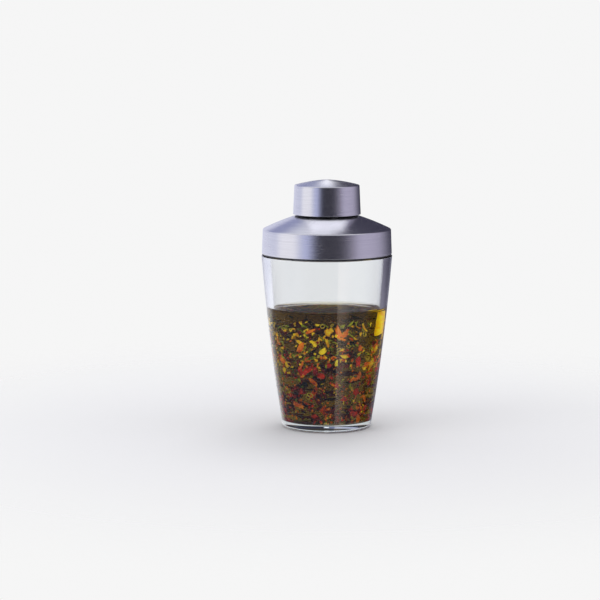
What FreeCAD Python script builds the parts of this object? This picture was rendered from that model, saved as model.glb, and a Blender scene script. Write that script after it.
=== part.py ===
"""Salad dressing shaker: a clear tapered beaker, a screw-on steel lid that carries a pouring spout,
and a steel screw cap over the spout.

Millimetres, +Z up along the axis, origin at the middle of the foot.
"""
import math
import os

import FreeCAD
import Part

V = FreeCAD.Vector

# Beaker
BODY_H = 120.0          # foot to shoulder
FOOT_R = 30.7           # outside at the foot, before rounding
WALL_BOW = 1.3          # outward bow of the wall off a straight line
FOOT_ROUND = 2.6
FOOT_WALL = 3.0         # wall thickness just above the base
BASE_T = 5.0            # thick base
FLOOR_ROUND = 4.5       # round between wall and floor, inside
STAND_W = 3.0           # width of the ring the beaker stands on
RECESS_H = 0.8          # depth of the hollow inside that ring
SHOULDER_LIP = 0.3      # how far the shoulder stands out past the lid
NECK_WALL = 2.0
RIM_ROUND = 0.5         # rounds on the neck's rim and the shoulder

# Lid, outside
LID_R = 45.0            # steel skirt at its lower edge
LID_TAPER = 0.6         # narrowing of the skirt to its upper edge
SKIRT_H = 16.8
LID_RISE = 9.8          # rise of the domed top from the skirt to the collar
LID_BOW = 0.5
LID_EDGE_ROUND = 1.2
SHEET = 0.5             # steel sheet of lid and cap
LIP_H = 2.0             # lip turned down round the collar's hole

# Lid, inside
FLANGE_T = 1.0          # liner's flange under the steel skirt
FLANGE_INSET = 0.4
LINER_WALL = 1.3
DECK_T = 2.0
DECK_DROP = 0.8         # room between the deck and the steel over it
GASKET_T = 1.8
GASKET_LAP = 0.9        # how far the gasket reaches inside the neck
BEAD_H = 1.2            # bead on the deck that holds the gasket
BEAD_W = 1.2
COLLAR_WALL = 1.9       # threaded collar round the spout
LEDGE_W = 0.3           # ledge on the collar past the steel lip it carries

# Cap, outside
CAP_R = 23.4            # at its lower edge
CAP_TAPER = 0.9
CAP_H = 20.1            # lower edge to upper edge
CAP_RISE = 3.8          # rise of the low pointed top
CAP_BOW = 0.6
CAP_EDGE_ROUND = 0.8
CAP_GAP = 0.5           # above the lid's highest point

# Cap, inside
CAP_LINER_WALL = 1.3
CAP_LINER_UP = 0.4      # liner's lower edge above the steel's
CAP_PLATE_T = 1.6
CAP_HEADROOM = 9.4      # collar's top to the cap's upper edge
CAP_SEAL_T = 1.6
HAT_ROOM = 0.4          # between the liner's crown and the cap's upper edge

# Spout
SPOUT_BORE_R = 10.0
SPOUT_WALL = 1.3
SPOUT_LIP = 1.6         # flare of the pouring lip
FLARE_H = 3.5
SPOUT_SLANT = 6.0       # drop of the spout's top from lip to back
SLOT_W = 5.0            # drain slot at the spout's back
GUTTER_DEPTH = 12.0     # ring gutter round the spout
SPOUT_FLANGE_T = 1.2
SPOUT_FLANGE_INSET = 0.2
RING_W = 1.0            # sealing ring under the spout's flange
RING_H = 1.2

# Clearances
LID_GAP = 0.3           # flange to shoulder, lid screwed home
THREAD_GAP = 0.9        # radial room for a screw thread
BOND = 0.1              # steel to its liner, filled by adhesive
HOLE_GAP = 0.4          # collar in the steel's hole
FIT = 0.1               # spout in the collar
SEAL_GAP = 0.3          # seal to the wall that locates it
SPOUT_CLEAR = 0.8       # spout's lip to the cap's crown
HAT_CLEAR = 1.0         # spout's lip to the crown's wall

# Levels
SHOULDER_Z = BODY_H
FLANGE_Z = SHOULDER_Z + LID_GAP
SKIRT_Z0 = FLANGE_Z + FLANGE_T
SKIRT_Z1 = SKIRT_Z0 + SKIRT_H
LID_TOP_Z = SKIRT_Z1 + LID_RISE
DECK_Z1 = SKIRT_Z1 - SHEET - DECK_DROP
DECK_Z0 = DECK_Z1 - DECK_T
NECK_Z = DECK_Z0 - GASKET_T
LEDGE_Z = LID_TOP_Z - LIP_H
CAP_Z0 = LID_TOP_Z + CAP_GAP
CAP_Z1 = CAP_Z0 + CAP_H
COLLAR_Z = CAP_Z1 - CAP_HEADROOM
SEAL_Z0 = COLLAR_Z + SPOUT_FLANGE_T
SEAL_Z1 = SEAL_Z0 + CAP_SEAL_T
HAT_Z1 = CAP_Z1 - SHEET - HAT_ROOM
HAT_Z0 = HAT_Z1 - CAP_PLATE_T
SPOUT_Z = HAT_Z0 - SPOUT_CLEAR

# Radii
SHOULDER_R = LID_R + SHOULDER_LIP
LID_TOP_R = LID_R - LID_TAPER
LINER_BORE_R = LID_TOP_R - SHEET - BOND - LINER_WALL
NECK_R = LINER_BORE_R - THREAD_GAP
NECK_BORE_R = NECK_R - NECK_WALL
CAP_TOP_R = CAP_R - CAP_TAPER
CAP_BORE_R = CAP_TOP_R - SHEET - BOND - CAP_LINER_WALL
COLLAR_R = CAP_BORE_R - THREAD_GAP
COLLAR_BORE_R = COLLAR_R - COLLAR_WALL
HOLE_R = COLLAR_R + HOLE_GAP
GASKET_IN_R = NECK_BORE_R - GASKET_LAP
SPOUT_R = COLLAR_BORE_R - FIT
GUTTER_R = SPOUT_R - SPOUT_WALL
HAT_R = SPOUT_BORE_R + SPOUT_WALL + SPOUT_LIP + HAT_CLEAR


def bow(low, high, amount):
    """Middle of an arc from low to high that stands out from the straight line by amount."""
    dr = high[0] - low[0]
    dz = high[1] - low[1]
    length = math.hypot(dr, dz)
    mid_r = (low[0] + high[0]) / 2 + amount * dz / length
    mid_z = (low[1] + high[1]) / 2 - amount * dr / length
    return (mid_r, mid_z, "via")


def arc_centre(low, high, amount):
    """Centre and radius of the same arc."""
    mid = bow(low, high, amount)
    chord = math.hypot(high[0] - low[0], high[1] - low[1])
    radius = (chord * chord / 4 + amount * amount) / (2 * amount)
    foot_r = (low[0] + high[0]) / 2
    foot_z = (low[1] + high[1]) / 2
    centre_r = mid[0] + (foot_r - mid[0]) * radius / amount
    centre_z = mid[1] + (foot_z - mid[1]) * radius / amount
    return centre_r, centre_z, radius


def lathe(outline):
    """Solid of revolution of a closed outline of (r, z); a point marked via lies on an arc."""
    points = [V(p[0], 0, p[1]) for p in outline]
    count = len(points)
    edges = []
    i = 0
    while i < count:
        j = (i + 1) % count
        if len(outline[j]) == 3:
            k = (i + 2) % count
            edges.append(Part.Arc(points[i], points[j], points[k]).toShape())
            i += 2
        else:
            edges.append(Part.makeLine(points[i], points[j]))
            i += 1
    face = Part.Face(Part.Wire(edges))
    return face.revolve(V(0, 0, 0), V(0, 0, 1), 360)


def ring(r_in, r_out, z0, z1):
    return lathe([(r_in, z0), (r_out, z0), (r_out, z1), (r_in, z1)])


def round_rims(solid, rims, radius):
    """Round the circular edges at the given (r, z)."""
    picked = []
    for edge in solid.Edges:
        if edge.Degenerated or not isinstance(edge.Curve, Part.Circle):
            continue
        for r, z in rims:
            near_r = abs(edge.Curve.Radius - r) < 1e-4
            near_z = abs(edge.Curve.Center.z - z) < 1e-4
            if near_r and near_z:
                picked.append(edge)
    return solid.makeFillet(radius, picked)


def skirt_r(z):
    """Outside radius of the lid's steel skirt at height z."""
    return LID_R - LID_TAPER * (z - SKIRT_Z0) / SKIRT_H


def cap_r(z):
    """Outside radius of the cap's steel wall at height z."""
    return CAP_R - CAP_TAPER * (z - CAP_Z0) / CAP_H


def beaker():
    foot = (FOOT_R, 0)
    shoulder = (SHOULDER_R, SHOULDER_Z)
    floor = (FOOT_R - FOOT_WALL, BASE_T)
    throat = (NECK_BORE_R, SHOULDER_Z)
    recess_r = FOOT_R - FOOT_ROUND - STAND_W
    solid = lathe([
        (0, RECESS_H),
        (recess_r - RECESS_H, RECESS_H),
        (recess_r, 0),
        foot,
        bow(foot, shoulder, WALL_BOW),
        shoulder,
        (NECK_R, SHOULDER_Z),
        (NECK_R, NECK_Z),
        (NECK_BORE_R, NECK_Z),
        throat,
        bow(floor, throat, WALL_BOW),
        floor,
        (0, BASE_T),
    ])
    solid = round_rims(solid, [foot], FOOT_ROUND)
    solid = round_rims(solid, [floor], FLOOR_ROUND)
    return round_rims(solid, [shoulder, (NECK_R, NECK_Z), (NECK_BORE_R, NECK_Z)], RIM_ROUND)


def lid_gasket():
    return ring(GASKET_IN_R, LINER_BORE_R - SEAL_GAP, NECK_Z, DECK_Z0)


def sheet_dome(low, high, amount):
    """Outer and inner arcs of a domed sheet: the via point of each and a height on the inner one."""
    centre_r, centre_z, radius = arc_centre(low, high, amount)
    inner = radius - SHEET

    def height(r):
        return centre_z + math.sqrt(inner * inner - (r - centre_r) ** 2)

    return bow(low, high, amount), height


def lid_shell():
    edge = (LID_TOP_R, SKIRT_Z1)
    top = (HOLE_R, LID_TOP_Z)
    over, height = sheet_dome(edge, top, LID_BOW)
    lip_r = HOLE_R + SHEET
    under_r = LID_TOP_R - SHEET
    mid_r = (lip_r + under_r) / 2
    under = (under_r, height(under_r))
    solid = lathe([
        (LID_R - SHEET, SKIRT_Z0),
        (LID_R, SKIRT_Z0),
        edge,
        over,
        top,
        (HOLE_R, LEDGE_Z),
        (lip_r, LEDGE_Z),
        (lip_r, height(lip_r)),
        (mid_r, height(mid_r), "via"),
        under,
    ])
    solid = round_rims(solid, [edge], LID_EDGE_ROUND)
    return round_rims(solid, [under], LID_EDGE_ROUND - SHEET)


def lid_liner():
    bead_r = GASKET_IN_R - SEAL_GAP
    ledge_r = HOLE_R + SHEET + LEDGE_W
    seat_z = COLLAR_Z - RING_H
    return lathe([
        (LINER_BORE_R, FLANGE_Z),
        (LID_R - FLANGE_INSET, FLANGE_Z),
        (LID_R - FLANGE_INSET, SKIRT_Z0),
        (skirt_r(SKIRT_Z0) - SHEET - BOND, SKIRT_Z0),
        (skirt_r(DECK_Z1) - SHEET - BOND, DECK_Z1),
        (ledge_r, DECK_Z1),
        (ledge_r, LEDGE_Z),
        (COLLAR_R, LEDGE_Z),
        (COLLAR_R, COLLAR_Z),
        (COLLAR_BORE_R + RING_W, COLLAR_Z),
        (COLLAR_BORE_R + RING_W, seat_z),
        (COLLAR_BORE_R, seat_z),
        (COLLAR_BORE_R, DECK_Z0),
        (bead_r - BEAD_W, DECK_Z0),
        (bead_r - BEAD_W, DECK_Z0 - BEAD_H),
        (bead_r, DECK_Z0 - BEAD_H),
        (bead_r, DECK_Z0),
        (LINER_BORE_R, DECK_Z0),
    ])


def pour_spout():
    tube_r = SPOUT_BORE_R + SPOUT_WALL
    flange_r = COLLAR_R - SPOUT_FLANGE_INSET
    gutter_z = SEAL_Z0 - GUTTER_DEPTH
    flare_z = SPOUT_Z - FLARE_H
    lip_r = tube_r + SPOUT_LIP
    solid = lathe([
        (SPOUT_BORE_R, gutter_z - SPOUT_WALL),
        (SPOUT_R, gutter_z - SPOUT_WALL),
        (SPOUT_R, COLLAR_Z),
        (flange_r, COLLAR_Z),
        (flange_r, SEAL_Z0),
        (GUTTER_R, SEAL_Z0),
        (GUTTER_R, gutter_z),
        (tube_r, gutter_z),
        (tube_r, flare_z),
        (lip_r, SPOUT_Z),
        (SPOUT_BORE_R + SPOUT_LIP, SPOUT_Z),
        (SPOUT_BORE_R, flare_z),
    ])
    back = -2 * lip_r
    drop = SPOUT_SLANT * (lip_r - back) / (2 * lip_r)
    slant = Part.makePolygon([
        V(lip_r, -lip_r, SPOUT_Z),
        V(back, -lip_r, SPOUT_Z - drop),
        V(back, -lip_r, SPOUT_Z + drop),
        V(lip_r, -lip_r, SPOUT_Z + drop),
        V(lip_r, -lip_r, SPOUT_Z),
    ])
    above = Part.Face(slant).extrude(V(0, 2 * lip_r, 0))
    slot_x = (tube_r + GUTTER_R) / 2
    slot = Part.makeBox(slot_x, SLOT_W, GUTTER_DEPTH + SPOUT_Z, V(-slot_x, -SLOT_W / 2, gutter_z))
    return solid.cut(above.common(ring(0.01, GUTTER_R, SEAL_Z0, SPOUT_Z + 1))).cut(slot)


def spout_seal():
    return ring(COLLAR_BORE_R, COLLAR_BORE_R + RING_W, COLLAR_Z - RING_H, COLLAR_Z)


def cap_seal():
    return ring(GUTTER_R - SEAL_GAP, CAP_BORE_R - SEAL_GAP, SEAL_Z0, SEAL_Z1)


def cap_shell():
    edge = (CAP_TOP_R, CAP_Z1)
    apex = (0, CAP_Z1 + CAP_RISE)
    over, height = sheet_dome(edge, apex, CAP_BOW)
    under_r = CAP_TOP_R - SHEET
    under = (under_r, height(under_r))
    solid = lathe([
        (CAP_R - SHEET, CAP_Z0),
        (CAP_R, CAP_Z0),
        edge,
        over,
        apex,
        (0, height(0)),
        (under_r / 2, height(under_r / 2), "via"),
        under,
    ])
    solid = round_rims(solid, [edge], CAP_EDGE_ROUND)
    return round_rims(solid, [under], CAP_EDGE_ROUND - SHEET)


def cap_liner():
    foot_z = CAP_Z0 + CAP_LINER_UP
    plate_z = SEAL_Z1 + CAP_PLATE_T
    hat_r = HAT_R + CAP_LINER_WALL
    return lathe([
        (CAP_BORE_R, foot_z),
        (cap_r(foot_z) - SHEET - BOND, foot_z),
        (cap_r(plate_z) - SHEET - BOND, plate_z),
        (hat_r, plate_z),
        (hat_r, HAT_Z1),
        (0, HAT_Z1),
        (0, HAT_Z0),
        (HAT_R, HAT_Z0),
        (HAT_R, SEAL_Z1),
        (CAP_BORE_R, SEAL_Z1),
    ])


PIECES = (
    beaker,
    lid_gasket,
    lid_shell,
    lid_liner,
    pour_spout,
    spout_seal,
    cap_seal,
    cap_shell,
    cap_liner,
)

os.makedirs("parts", exist_ok=True)
for piece in PIECES:
    piece().exportStep("parts/" + piece.__name__ + ".step")
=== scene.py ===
"""Salad dressing shaker: a beaker of dressing, a brushed steel screw lid and a steel cap over its spout.

The shapes are worked out in millimetres, +Z up along the axis, and become metres when a piece is made.
"""

import math

import bpy
import numpy as np
from mathutils import Matrix, Vector


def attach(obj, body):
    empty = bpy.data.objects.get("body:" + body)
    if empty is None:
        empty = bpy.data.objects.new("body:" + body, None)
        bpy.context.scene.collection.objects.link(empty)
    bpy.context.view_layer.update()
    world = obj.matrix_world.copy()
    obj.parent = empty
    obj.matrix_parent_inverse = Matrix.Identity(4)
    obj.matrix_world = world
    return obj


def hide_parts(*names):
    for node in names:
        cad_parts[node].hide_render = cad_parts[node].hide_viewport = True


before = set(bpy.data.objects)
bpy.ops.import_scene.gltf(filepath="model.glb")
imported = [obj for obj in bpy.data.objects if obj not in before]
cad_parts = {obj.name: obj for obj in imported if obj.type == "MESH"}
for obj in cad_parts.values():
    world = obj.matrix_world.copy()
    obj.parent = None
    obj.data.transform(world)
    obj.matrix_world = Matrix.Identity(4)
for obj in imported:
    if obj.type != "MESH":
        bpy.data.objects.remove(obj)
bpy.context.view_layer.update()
scene = bpy.context.scene

MM = 0.001
TURN = 2 * math.pi
TINY = 1e-6

# Beaker
BODY_H = 120.0          # foot to shoulder
FOOT_R = 30.7           # outside at the foot, before rounding
WALL_BOW = 1.3          # outward bow of the wall off a straight line
FOOT_ROUND = 2.6
FOOT_WALL = 3.0         # wall just above the base
BASE_T = 5.0
FLOOR_ROUND = 4.5       # round between wall and floor, inside
STAND_W = 3.0           # width of the ring it stands on
RECESS_H = 0.8          # depth of the hollow inside that ring
SHOULDER_LIP = 0.3      # how far the shoulder stands out past the lid
NECK_WALL = 2.0
RIM_ROUND = 0.5

# Lid
LID_R = 45.0            # steel skirt at its lower edge
LID_TAPER = 0.6
SKIRT_H = 16.8
LID_RISE = 9.8          # from the skirt to the collar
LID_BOW = 0.5
LID_EDGE_ROUND = 1.2
SHEET = 0.5             # steel sheet of lid and cap
UNDER_DROP = 0.8 * SHEET    # from a steel edge down to the corner under it
LIP_H = 2.0             # lip turned down round the collar's hole
LID_GAP = 0.3           # to the shoulder
FLANGE_T = 1.0
FLANGE_INSET = 0.4
LINER_WALL = 1.3
DECK_T = 2.0
DECK_DROP = 0.8         # below the steel over it
GASKET_T = 1.8
GASKET_LAP = 0.9        # how far the gasket reaches inside the neck
BEAD_H = 1.2            # bead on the deck that holds the gasket
BEAD_W = 1.2
COLLAR_WALL = 1.9
LEDGE_W = 0.3           # ledge on the collar past the steel lip
THREAD_GAP = 0.9        # radial room for a screw thread
BOND = 0.1              # steel to its liner
HOLE_GAP = 0.4          # collar in the steel's hole
SEAL_GAP = 0.3          # seal to the wall that locates it
SEAL_SOFT = 0.3         # round of a seal's edges, as a share of its thinner side

# Cap
CAP_R = 23.4            # at its lower edge
CAP_TAPER = 0.9
CAP_H = 20.1
CAP_RISE = 3.8          # of the low pointed top
CAP_BOW = 0.6
CAP_EDGE_ROUND = 0.8
CAP_GAP = 0.5           # above the lid
CAP_LINER_WALL = 1.3
CAP_LINER_UP = 0.4      # liner's lower edge above the steel's
CAP_PLATE_T = 1.6
CAP_HEADROOM = 9.4      # collar's top to the cap's upper edge
CAP_SEAL_T = 1.6
HAT_ROOM = 0.4          # between the liner's crown and the steel over it

# Spout
SPOUT_BORE_R = 10.0
SPOUT_WALL = 1.3
SPOUT_LIP = 1.6         # flare of the pouring lip
FLARE_SHARE = 0.45      # share of the tube's height over which its lip flares
FLARE_CURVE = 1.3       # how late in that height it flares
FLARE_FRONT = 1.5       # how closely the flare keeps to the front
SPOUT_SLANT = 6.0       # drop of the tube's top from lip to back
SLOT_W = 5.0            # drain slot at the back
GUTTER_DEPTH = 12.0
SPOUT_FLANGE_T = 1.2
SPOUT_FLANGE_INSET = 0.2
RING_W = 1.0            # sealing ring under the spout's flange
RING_H = 1.2
FIT = 0.1               # spout in the collar
SPOUT_CLEAR = 0.8       # spout's lip to the cap's crown
HAT_CLEAR = 1.0         # spout's lip to the crown's wall

# Screw threads: three starts each
STARTS = 3
LID_LEAD = 12.0
CAP_LEAD = 9.0
THREAD_H = 0.72
RIDGE_HALF = 0.20       # half the ridge's width, as a share of the pitch
RIDGE_FLANK = 0.17
THREAD_FADE = 1.0       # height over which an end of a thread fades out
BETWEEN = 0.5           # inside ridges lie half a pitch from the outside ones
NECK_PLAIN = (2.0, 1.4)     # wall without a thread, below and above it
BORE_PLAIN = (1.0, 3.2)
COLLAR_PLAIN = (2.0, 1.2)
CAP_PLAIN = (1.0, 3.8)

# Dressing
FILL_Z = 83.0
LIQUID_LAP = 0.08       # how far the liquid reaches into the beaker's wall, so that no air shows between
MENISCUS_H = 1.5
MENISCUS_W = 1.3

# Levels and radii that follow
FLANGE_Z = BODY_H + LID_GAP
SKIRT_Z0 = FLANGE_Z + FLANGE_T
SKIRT_Z1 = SKIRT_Z0 + SKIRT_H
LID_TOP_Z = SKIRT_Z1 + LID_RISE
DECK_Z1 = SKIRT_Z1 - SHEET - DECK_DROP
DECK_Z0 = DECK_Z1 - DECK_T
NECK_Z = DECK_Z0 - GASKET_T
LEDGE_Z = LID_TOP_Z - LIP_H
CAP_Z0 = LID_TOP_Z + CAP_GAP
CAP_Z1 = CAP_Z0 + CAP_H
COLLAR_Z = CAP_Z1 - CAP_HEADROOM
SEAL_Z0 = COLLAR_Z + SPOUT_FLANGE_T
SEAL_Z1 = SEAL_Z0 + CAP_SEAL_T
HAT_Z1 = CAP_Z1 - SHEET - HAT_ROOM
HAT_Z0 = HAT_Z1 - CAP_PLATE_T
SPOUT_Z = HAT_Z0 - SPOUT_CLEAR
SHOULDER_R = LID_R + SHOULDER_LIP
LID_TOP_R = LID_R - LID_TAPER
LINER_BORE_R = LID_TOP_R - SHEET - BOND - LINER_WALL
NECK_R = LINER_BORE_R - THREAD_GAP
NECK_BORE_R = NECK_R - NECK_WALL
CAP_TOP_R = CAP_R - CAP_TAPER
CAP_BORE_R = CAP_TOP_R - SHEET - BOND - CAP_LINER_WALL
COLLAR_R = CAP_BORE_R - THREAD_GAP
COLLAR_BORE_R = COLLAR_R - COLLAR_WALL
HOLE_R = COLLAR_R + HOLE_GAP
GASKET_IN_R = NECK_BORE_R - GASKET_LAP
SPOUT_R = COLLAR_BORE_R - FIT
GUTTER_R = SPOUT_R - SPOUT_WALL
GUTTER_Z = SEAL_Z0 - GUTTER_DEPTH
TUBE_R = SPOUT_BORE_R + SPOUT_WALL
HAT_R = TUBE_R + SPOUT_LIP + HAT_CLEAR
FLOOR_R = FOOT_R - FOOT_WALL
WET_Z = FILL_Z + MENISCUS_H

# Fineness of the surfaces
SEGMENTS = 224          # round the axis
RUN_STEP = 2.0          # along a plain run
THREAD_STEP = 0.16
DOME_STEP = 0.8
POINT_STEP = 0.6
WET_STEP = 1.0
SURFACE_RINGS = 60      # on the liquid's surface
SURFACE_CROWD = 2.2     # how closely they crowd to the wall
TUBE_COLUMNS = 200      # of the spout's tube, round the axis
TUBE_ROWS = 40
TUBE_RIM = 9
ROUND_LEAST = 4         # points of a round
ROUND_TURN = math.radians(11)
SOFT_EDGE = 0.25        # small round on moulded edges
HEM_ROUND = 0.2         # on the steel's cut edges
SHARP_ANGLE = math.radians(38)
ON_WALL = 1e-4          # how near a point is to a wall that it lies on


def smooth(t):
    """An S-shaped step: 0 up to 0, 1 from 1 on."""
    t = np.clip(t, 0.0, 1.0)
    return t * t * (3.0 - 2.0 * t)


def swung(a, b, angle):
    """The pair (a, b) turned by an angle, from a towards b."""
    return a * np.cos(angle) - b * np.sin(angle), a * np.sin(angle) + b * np.cos(angle)


def corner(r, z, rounding=0.0, bow=0.0, step=RUN_STEP):
    """A corner of an outline, with its round, and the bow and the spacing of the run that leaves it."""
    return (r, z, rounding, bow, step)


def corner_round(at, arrive, turn, rounding, trim):
    """Points of a circular round: it starts short of the corner by trim and turns into the next run."""
    side = np.sign(turn)
    start = at - trim * np.array([np.cos(arrive), np.sin(arrive)])
    middle = start + side * rounding * np.array([-np.sin(arrive), np.cos(arrive)])
    swing = arrive + np.linspace(0, turn, ROUND_LEAST + int(abs(turn) / ROUND_TURN))
    left = np.stack([-np.sin(swing), np.cos(swing)], axis=1)
    return middle - side * rounding * left


def outline(corners, closed=True):
    """Line of (r, z) through the corners. A run is straight, or a circular arc that stands out to the right
    of the travel by its bow. A corner is a circular round that is tangent to both of its runs."""
    table = np.array(corners, float)
    at = table[:, :2]
    rounding, bows, steps = table[:, 2], table[:, 3], table[:, 4]
    count = len(at)
    ahead = np.roll(at, -1, axis=0) - at
    chord = np.hypot(ahead[:, 0], ahead[:, 1])
    heading = np.arctan2(ahead[:, 1], ahead[:, 0])
    half = 2.0 * np.arctan2(2.0 * bows, chord)
    leave = heading - half
    arrive = np.roll(heading + half, 1)
    turn = (leave - arrive + math.pi) % TURN - math.pi
    trim = rounding * np.tan(np.abs(turn) / 2)
    runs = []
    for i in range(count):
        j = (i + 1) % count
        if trim[i] > TINY:
            runs.append(corner_round(at[i], arrive[i], turn[i], rounding[i], trim[i]))
        else:
            runs.append(at[i:i + 1])
        if j == 0 and not closed:
            break
        length = chord[i] - trim[i] - trim[j]
        inner = np.linspace(0, 1, max(1, math.ceil(length / steps[i])) + 1)[1:-1, None]
        if abs(bows[i]) > TINY:
            radius = chord[i] / (2 * np.sin(half[i]))
            swing = (-half[i] + trim[i] / radius) * (1 - inner) + (half[i] - trim[j] / radius) * inner
            along = np.array([np.cos(heading[i]), np.sin(heading[i])])
            right = np.array([np.sin(heading[i]), -np.cos(heading[i])])
            foot = (at[i] + at[j]) / 2
            bowed = radius * (np.cos(swing) - np.cos(half[i]))
            runs.append(foot + radius * np.sin(swing) * along + bowed * right)
        else:
            share = (trim[i] + inner * length) / chord[i]
            runs.append(at[i] + share * ahead[i])
    return np.concatenate(runs)


def screw(at_r, z_low, z_high, lead, height, phase):
    """Relief of a three-start thread on the wall at at_r: height times a flat-topped ridge in the fraction
    of (z - lead * turn / 360) / pitch, fading out at both ends. A negative height stands inwards."""
    pitch = lead / STARTS

    def relief(r, z, t):
        place = (z[:, None] - lead * t[None, :] / TURN) / pitch + phase
        away = np.abs(place - np.round(place))
        ridge = smooth((RIDGE_HALF - away) / RIDGE_FLANK)
        fade = smooth((z - z_low) / THREAD_FADE) * smooth((z_high - z) / THREAD_FADE)
        on_wall = np.abs(r - at_r) < ON_WALL
        return height * (fade * on_wall)[:, None] * ridge

    return relief


def band(rows, columns, closed_rows, closed_columns=True):
    """Quads between neighbouring rows and columns of a grid; what is closed joins its own start."""
    i = np.arange(rows if closed_rows else rows - 1)[:, None]
    j = np.arange(columns if closed_columns else columns - 1)[None, :]
    up, over = (i + 1) % rows, (j + 1) % columns
    around = (i * columns + j, i * columns + over, up * columns + over, up * columns + j)
    return np.stack(np.broadcast_arrays(*around), -1).reshape(-1, 4)


def pole_fans(rows, columns):
    """Triangles from the first and the last row of a grid to its two poles, the next two points."""
    j = np.arange(columns)
    over = (j + 1) % columns
    last = (rows - 1) * columns
    low = np.full(columns, rows * columns)
    return [np.stack([low, over, j], axis=1), np.stack([last + j, last + over, low + 1], axis=1)]


def lathe(line, relief=None):
    """Surface of revolution: (r, z) carried round the axis to (r cos t, r sin t, z), relief added to r. A
    line that starts and ends on the axis closes in two poles; any other line joins its own start."""
    t = np.linspace(0, TURN, SEGMENTS, endpoint=False)
    poles = line[0, 0] < TINY
    ring = line[1:-1] if poles else line
    r = ring[:, :1] + (relief(ring[:, 0], ring[:, 1], t) if relief else np.zeros((1, SEGMENTS)))
    z = np.broadcast_to(ring[:, 1:], r.shape)
    points = np.stack([r * np.cos(t), r * np.sin(t), z], axis=-1).reshape(-1, 3)
    faces = [band(len(ring), SEGMENTS, not poles)]
    if poles:
        points = np.concatenate([points, [[0, 0, line[0, 1]], [0, 0, line[-1, 1]]]])
        faces += pole_fans(len(ring), SEGMENTS)
    return points, faces


def piece(name, shells, finish, body, node=None):
    """One object at the origin from shells of (points in millimetres, blocks of faces)."""
    points, faces, first = [], [], 0
    for shell_points, blocks in shells:
        points.append(shell_points)
        for block in blocks:
            faces.extend((block + first).tolist())
        first += len(shell_points)
    mesh = bpy.data.meshes.new(name)
    mesh.from_pydata((np.concatenate(points) * MM).tolist(), [], faces)
    mesh.shade_smooth()
    mesh.set_sharp_from_angle(angle=SHARP_ANGLE)
    mesh.materials.append(finish)
    made = bpy.data.objects.new(name, mesh)
    scene.collection.objects.link(made)
    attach(made, body)
    if node:
        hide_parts(node)
    return made


def linear(red, green, blue):
    """A display colour of 0 to 255 a channel as linear light, by the usual display curve."""
    c = np.array([red, green, blue]) / 255.0
    c = np.where(c <= 0.04045, c / 12.92, ((c + 0.055) / 1.055) ** 2.4)
    return (*c.tolist(), 1.0)


class Wire:
    """A socket of a finish; arithmetic on it adds Math nodes."""

    def __init__(self, finish, socket):
        self.finish = finish
        self.socket = socket

    def math(self, operation, *values):
        return self.finish.add("Math", {"operation": operation}, dict(enumerate(values)))

    def also(self, name):
        """Another output of the same node."""
        return Wire(self.finish, self.socket.node.outputs[name])

    def __add__(self, other):
        return self.math("ADD", self, other)

    __radd__ = __add__

    def __sub__(self, other):
        return self.math("SUBTRACT", self, other)

    def __rsub__(self, other):
        return self.math("SUBTRACT", other, self)

    def __mul__(self, other):
        return self.math("MULTIPLY", self, other)

    __rmul__ = __mul__

    def __truediv__(self, other):
        return self.math("DIVIDE", self, other)

    def __pow__(self, other):
        return self.math("POWER", self, other)

    def over(self, other):
        """The larger of the two."""
        return self.math("MAXIMUM", self, other)

    def step(self, low, high):
        """An S-shaped step from 0 at low to 1 at high."""
        settings = {"interpolation_type": "SMOOTHSTEP"}
        return self.finish.add("MapRange", settings, {"Value": self, "From Min": low, "From Max": high})


class Finish:
    """The node tree of a material or of the world."""

    def __init__(self, owner):
        owner.use_nodes = True
        self.owner = owner
        self.tree = owner.node_tree
        self.tree.nodes.clear()

    def add(self, kind, settings=None, sockets=None, out=0):
        """A node of that kind: its settings first, then the values or links of its sockets."""
        node = self.tree.nodes.new("ShaderNode" + kind)
        for key, value in (settings or {}).items():
            setattr(node, key, value)
        for key, value in (sockets or {}).items():
            if isinstance(value, Wire):
                self.tree.links.new(value.socket, node.inputs[key])
            else:
                node.inputs[key].default_value = value
        return Wire(self, node.outputs[out])

    def mix(self, share, first, second):
        """Colour from first to second by share."""
        return self.add("Mix", {"data_type": "RGBA"}, {0: share, 6: first, 7: second}, out=2)

    def noise(self, vector, scale, detail=2.0, roughness=0.5):
        values = {"Vector": vector, "Scale": scale, "Detail": detail, "Roughness": roughness}
        return self.add("TexNoise", {"noise_dimensions": "3D"}, values)

    def place(self):
        return self.add("TexCoord", out="Object")

    def axes(self, vector):
        """The three parts of a vector."""
        parts = self.add("SeparateXYZ", None, {0: vector})
        return parts, parts.also("Y"), parts.also("Z")

    def bump(self, height, strength, distance):
        return self.add("Bump", None, {"Height": height, "Strength": strength, "Distance": distance})


def new_finish(name):
    return Finish(bpy.data.materials.new(name))


def finished(finish, surface, volume=None):
    """Ends a finish with its output node."""
    kind = "OutputMaterial" if isinstance(finish.owner, bpy.types.Material) else "OutputWorld"
    end = finish.tree.nodes.new("ShaderNode" + kind)
    finish.tree.links.new(surface.socket, end.inputs["Surface"])
    if volume:
        finish.tree.links.new(volume.socket, end.inputs["Volume"])
    return finish.owner


def off_axis(x, y):
    """Distance from the axis, never quite nothing."""
    return ((x * x + y * y) ** 0.5).over(TINY)


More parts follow.
